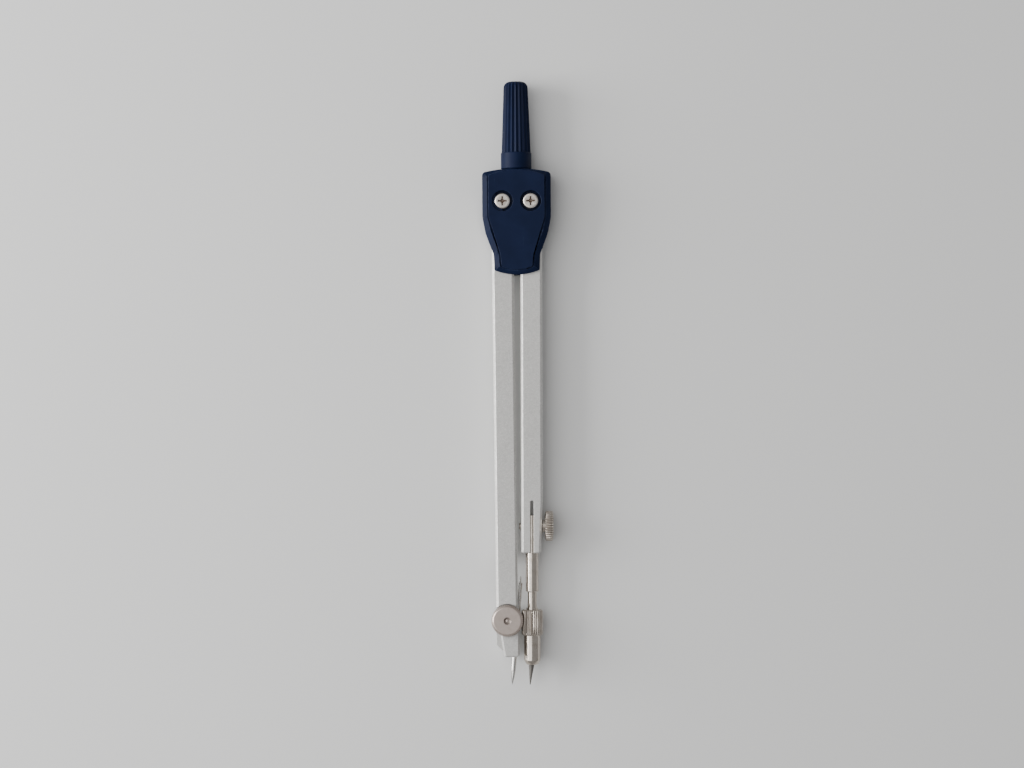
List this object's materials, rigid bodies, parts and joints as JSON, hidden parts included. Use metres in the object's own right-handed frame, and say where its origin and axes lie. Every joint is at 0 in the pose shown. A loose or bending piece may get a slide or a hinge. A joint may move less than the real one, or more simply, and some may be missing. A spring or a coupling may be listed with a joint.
{
  "type": "drawing compass",
  "caption": "School drawing compass with a fluted handle, a geared head that opens both legs together, a needle leg with a knee joint and a split clamp that holds a lead insert.",
  "frame": {"origin": "on the flat back face of the head, midway between the two leg pivots", "axes": "+X to the right seen from the front, with the lead leg on that side; +Y towards the handle; +Z out of the front of the head, so the compass lies on a table with its legs closed"},
  "size_m": [0.017, 0.15, 0.0086],
  "materials": {
    "navy_plastic": "dark navy moulded plastic, satin",
    "silver_paint": "fine silver-grey satin paint",
    "nickel": "bright nickel plating",
    "washer_nylon": "natural nylon",
    "needle_steel": "polished steel",
    "graphite": "dark grey graphite, slightly shiny"
  },
  "bodies": {
    "head": {"front_cover": "navy_plastic", "back_cover": "navy_plastic", "handle": "navy_plastic", "pivot_screw_left": "nickel", "pivot_screw_right": "nickel", "pivot_nut_left": "nickel", "pivot_nut_right": "nickel", "front_washer_left": "washer_nylon", "front_washer_right": "washer_nylon", "back_washer_left": "washer_nylon", "back_washer_right": "washer_nylon"},
    "needle_leg": {"needle_leg": "silver_paint"},
    "needle_foot": {"needle_foot": "silver_paint"},
    "needle": {"needle": "needle_steel"},
    "knee_thumb_screw": {"knee_thumb_screw": "nickel"},
    "lead_leg": {"lead_leg": "silver_paint"},
    "clamp_thumb_screw": {"clamp_thumb_screw": "nickel"},
    "lead_holder": {"lead_holder": "nickel"},
    "chuck_sleeve": {"chuck_sleeve": "nickel"},
    "lead": {"lead": "graphite"}
  },
  "joints": [
    {"name": "needle_leg_hinge", "type": "hinge", "parent": "head", "child": "needle_leg", "pos_m": [-0.0035, 0, 0.0043], "axis": [0, 0, -1], "range_deg": [0, 60]},
    {"name": "lead_leg_hinge", "type": "hinge", "parent": "head", "child": "lead_leg", "pos_m": [0.0035, 0, 0.0043], "axis": [0, 0, 1], "range_deg": [0, 60]},
    {"name": "knee_hinge", "type": "hinge", "parent": "needle_leg", "child": "needle_foot", "pos_m": [-0.00309, -0.1039, 0.0043], "axis": [0, 0, 1], "range_deg": [0, 60]},
    {"name": "needle_slide", "type": "slide", "parent": "needle_foot", "child": "needle", "axis": [-0.0858, -0.9963, 0], "range_m": [-0.004, 0.004]},
    {"name": "knee_screw_turn", "type": "hinge", "parent": "needle_foot", "child": "knee_thumb_screw", "pos_m": [-0.00309, -0.1039, 0.0043], "axis": [0, 0, 1], "continuous": true},
    {"name": "clamp_screw_turn", "type": "hinge", "parent": "lead_leg", "child": "clamp_thumb_screw", "pos_m": [0.00321, -0.08065, 0.00378], "axis": [1, -0.0049, 0], "continuous": true},
    {"name": "insert_slide", "type": "slide", "parent": "lead_leg", "child": "lead_holder", "axis": [-0.0049, -1, 0], "range_m": [0, 0.012]},
    {"name": "sleeve_turn", "type": "hinge", "parent": "lead_holder", "child": "chuck_sleeve", "pos_m": [0.00311, -0.101, 0.0046], "axis": [-0.0049, -1, 0], "continuous": true},
    {"name": "lead_slide", "type": "slide", "parent": "lead_holder", "child": "lead", "axis": [-0.0049, -1, 0], "range_m": [-0.0015, 0.004]}
  ],
  "couplings": [
    {"joint": "lead_leg_hinge", "follows": "needle_leg_hinge", "ratio": 1},
    {"joint": "knee_hinge", "follows": "needle_leg_hinge", "ratio": 1}
  ]
}
